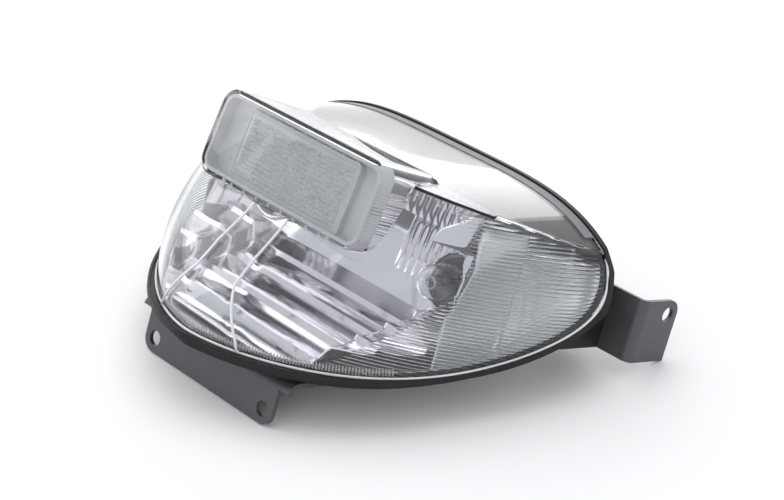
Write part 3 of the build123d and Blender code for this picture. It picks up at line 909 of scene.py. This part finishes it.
# reflex panel: a plate cut in small prisms, with a row of bright beads round it
panel = {
    "width": 85.0, "height": 37.0, "thick": 1.6, "behind": 6.1, "level": -2.0, "corner": 2.6, "edge": 0.6,
    "step": 4.0, "margin": 3, "pitch": 2.5, "prismDeep": 1.5, "sunk": 0.02, "uneven": 0.45, "tilt": 0.22,
    "seed": 7, "beadGap": 2.2, "beadCorner": 4.0, "beadStep": 3.4, "beadUp": 1.6,
}
plateMesh = roundedBlock(
    "reflexPlate", panel["width"], panel["height"], panel["corner"], panel["edge"],
    -panel["behind"], -panel["behind"] - panel["thick"], panel["step"],
)
reflexPlate = addObject("reflexPlate", plateMesh)
reflexPlate.data.transform(Matrix.Translation(Vector(tip(faceUp * panel["level"]))))
reflexPlate.data.materials.clear()
reflexPlate.data.materials.append(looks["reflexClear"])
prismSpots = []
columnsWide = int((panel["width"] - panel["margin"]) / panel["pitch"])
rowsHigh = int((panel["height"] - panel["margin"]) / panel["pitch"])
for row in range(rowsHigh):
    for column in range(columnsWide):
        u = (column - (columnsWide - 1) / 2) * panel["pitch"]
        v = (row - (rowsHigh - 1) / 2) * panel["pitch"] + panel["level"]
        prismSpots.append((u, v, -panel["behind"] - panel["sunk"]))
rowRight = tip(np.array([1.0, 0, 0]))
prismTurn = turnFor(rowRight, tip(faceOut))
quarter = Euler(prismTurn, "XYZ").to_matrix() @ Matrix.Rotation(math.pi / 4, 3, "Z")
prismTurn = tuple(quarter.to_euler("XYZ"))
prismSize = {
    "Length": panel["pitch"] / 1000, "Width": panel["pitch"] / 1000,
    "Height": panel["prismDeep"] / 1000, "Seed": panel["seed"],
}
prismTree, prismNames = instanceTree("prismField", prismSize, looks["reflexClear"], "prism", panel["uneven"])
jitter = np.random.RandomState(panel["seed"])
prismTurns = []
for _ in prismSpots:
    prismTurns.append(tuple(np.array(prismTurn) + jitter.uniform(-panel["tilt"], panel["tilt"], 3)))
reflexPrisms = pointCloud("reflexPrisms", toRow(onFace(prismSpots)), prismTurns)
grownBy(reflexPrisms, prismTree, prismNames, prismSize)
beadSpots = []
beadHalf = (panel["width"] / 2 + panel["beadGap"], panel["height"] / 2 + panel["beadGap"])
for u, v in roundedOutline(*beadHalf, panel["beadCorner"], panel["beadStep"])[::2]:
    beadSpots.append((u, v + panel["level"], -panel["behind"] + panel["beadUp"]))
beadSize = {"Length": 0.0021, "Width": 0.0012, "Height": 0.0012, "Seed": 1}
beadTree, beadNames = instanceTree("panelBeadRow", beadSize, looks["beadClear"], "bead")
beadTurns = [turnFor(rowRight, tip(faceOut))] * len(beadSpots)
panelBeads = pointCloud("panelBeads", toRow(onFace(beadSpots)), beadTurns)
grownBy(panelBeads, beadTree, beadNames, beadSize)
for piece in (reflexPlate, reflexPrisms, panelBeads):
    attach(piece, "lamp")
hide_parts("reflex_panel")
print("reflex panel ready")

# teeth along the inside of the rim
teeth = {"pitch": 1.7, "tall": 4.6, "wide": 1.15, "deep": 1.0, "reach": 92.0, "lift": 1.0, "seed": 3}
rimRow = innerWall[0]
rimRun = np.concatenate([[0], np.cumsum(np.linalg.norm(np.diff(rimRow, axis=0), axis=1))])
toothSpots, toothTurns = [], []
place = 0.0
while place < rimRun[-1]:
    spot = np.array([np.interp(place, rimRun, rimRow[:, k]) for k in range(3)])
    ahead = np.array([np.interp(place + 1, rimRun, rimRow[:, k]) for k in range(3)])
    if abs(spot[0]) < teeth["reach"]:
        along = tip(ahead - spot)
        spot = spot + np.array([0, 0, teeth["tall"] / 2 + teeth["lift"]])
        toothSpots.append(spot)
        toothTurns.append(turnFor(along, tip(np.array([0, 0, 1.0]))))
    place += teeth["pitch"]
toothSize = {
    "Length": teeth["wide"] / 1000, "Width": teeth["deep"] / 1000,
    "Height": teeth["tall"] / 1000, "Seed": teeth["seed"],
}
toothTree, toothNames = instanceTree("rimTeethRow", toothSize, looks["toothClear"], "bead")
rimTeeth = pointCloud("rimTeeth", toRow(toothSpots), toothTurns)
grownBy(rimTeeth, toothTree, toothNames, toothSize)
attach(rimTeeth, "lamp")
print("rim teeth ready", len(toothSpots))


def tubeTree(name, radius, material, sides=10):
    tree, source, out, names = newTree(name, {"Radius": radius})
    path = treeNode(tree, "GeometryNodeMeshToCurve", [(source.outputs["Geometry"], "Mesh")])
    radiusLink = [(source.outputs["Radius"], "Radius")]
    ring = treeNode(tree, "GeometryNodeCurvePrimitiveCircle", radiusLink, Resolution=sides)
    curveLinks = [(path.outputs[0], "Curve"), (ring.outputs["Curve"], "Profile Curve")]
    tube = treeNode(tree, "GeometryNodeCurveToMesh", curveLinks)
    tube.inputs["Fill Caps"].default_value = True
    finishTree(tree, out, tube.outputs[0], material)
    return tree, names


def pathMesh(name, paths):
    points, edges = [], []
    for path in paths:
        start = len(points)
        points += [tuple(p) for p in toRow(path)]
        edges += [(start + i, start + i + 1) for i in range(len(path) - 1)]
    mesh = bpy.data.meshes.new(name)
    mesh.from_pydata(points, edges, [])
    return addObject(name, mesh)


def tubePiece(name, paths, radius, material, body="lamp"):
    piece = pathMesh(name, paths)
    tree, names = tubeTree(name + "Tube", radius / 1000, material)
    grownBy(piece, tree, names, {"Radius": radius / 1000})
    piece.data.polygons.foreach_set("use_smooth", [True] * len(piece.data.polygons))
    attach(piece, body)
    return piece


# moulded lines: the two ridges and the ribbed flange at the front edge; the white bead along the rim is a
# painted highlight of the lens rim
trim = {
    "rimHighlightBead": 0.8, "rimLift": 0.75, "ridge": 0.8, "ridgeRange": (7.5, 72.0), "ridgePoints": 60,
    "flange": 0.5, "flangeRibs": 6, "flangePitch": 1.35, "flangeStart": -75.6,
    "flangeHalf": 108.0, "flangePoints": 80, "flangeLift": 0.1,
}
outerRim = outerWall[0] + np.array([0, 0, trim["rimLift"]])
# painted highlight: a white bead along the outer rim stands for the rim's highlight
tubePiece("rimHighlightBead", [outerRim], trim["rimHighlightBead"], looks["beadClear"])


def outerPoint(x, level):
    # point of the outer wall at this height and distance across
    middle = outerWall[:, len(turns) // 2, 2]
    above = int(np.clip(np.searchsorted(middle, level), 1, len(middle) - 1))
    gap = max(middle[above] - middle[above - 1], 1e-6)
    share = float(np.clip((level - middle[above - 1]) / gap, 0, 1))
    row = outerWall[above - 1] * (1 - share) + outerWall[above] * share
    order = np.argsort(row[:, 0])
    return np.array([np.interp(x, row[order, 0], row[order, k]) for k in range(3)])


bulbRing = {"points": 49, "gap": 0.6, "ahead": 0.5, "wire": 1.1}
wallBacks, wallLevels = zip(*reflector["wallLine"])
ringPaths = []
for side in (-1, 1):
    turnRound = np.linspace(0, 2 * math.pi, bulbRing["points"])
    around = reflector["bulbHole"] + bulbRing["gap"]
    level = reflector["bulbLevel"] + around * np.sin(turnRound)
    across = side * reflector["bulbAcross"] + around * np.cos(turnRound)
    wallBack = np.interp(level, wallLevels, wallBacks)
    ringPaths.append(np.stack([across, wallBack + bulbRing["ahead"], level], -1))
tubePiece("bulbRings", ringPaths, bulbRing["wire"], looks["chrome"])
support = {"ring": 3.4, "wire": 0.4, "front": -1.5, "rear": -16.0, "spread": 3.4, "points": 33}
for side, sideName in ((-1, "left"), (1, "right")):
    turnRound = np.linspace(0, 2 * math.pi, support["points"])
    across, level = side * reflector["bulbAcross"], reflector["bulbLevel"]
    ring = np.stack([
        across + support["ring"] * np.cos(turnRound), np.full(support["points"], support["front"]),
        level + support["ring"] * np.sin(turnRound),
    ], -1)
    wires = [ring]
    for dx in (-support["spread"], support["spread"]):
        x = across + dx
        wires.append(np.array([[x, support["front"], level], [x, support["rear"], level]]))
    pieceName, body = "bulbSupport" + sideName.capitalize(), "holder_" + sideName
    tubePiece(pieceName, wires, support["wire"], looks["screwZinc"], body)
ridgePaths = []
for side in (-1, 1):
    heights = np.linspace(*trim["ridgeRange"], trim["ridgePoints"])
    ridgePaths.append([outerPoint(side * np.interp(z, ridgeLevels, ridgeAcross), z) for z in heights])
tubePiece("lensRidges", ridgePaths, trim["ridge"], looks["beadClear"])
flangePaths = []
for index in range(trim["flangeRibs"]):
    back = trim["flangeStart"] + index * trim["flangePitch"]
    across = np.linspace(-trim["flangeHalf"], trim["flangeHalf"], trim["flangePoints"])
    level = crownLevel(across, 0) + trim["flangeLift"]
    flangePaths.append(np.stack([across, np.full(trim["flangePoints"], back), level], -1))
tubePiece("flangeRibs", flangePaths, trim["flange"], looks["flangeGrey"])
print("moulded lines ready")

# carried parts
finish = {
    "housing": "housingBlack", "lens_seal": "sealBlack", "panel_frame": "framePale",
    "reflector_screws": "screwZinc", "lower_bracket": "bracketPaint", "lower_bracket_screws": "screwZinc",
    "side_bracket_left": "bracketPaint", "side_bracket_right": "bracketPaint",
    "side_bracket_screws": "screwZinc",
}
for side in ("left", "right"):
    finish.update({
        "bulb_glass_" + side: "bulbClear", "filaments_" + side: "tungsten",
        "bulb_holder_" + side: "holderGrey", "holder_contacts_" + side: "contactBrass",
        "holder_seal_" + side: "siliconeRed",
    })
for name, look in finish.items():
    for item in nodes[name].material_slots:
        item.material = looks[look]
print("finishes ready")
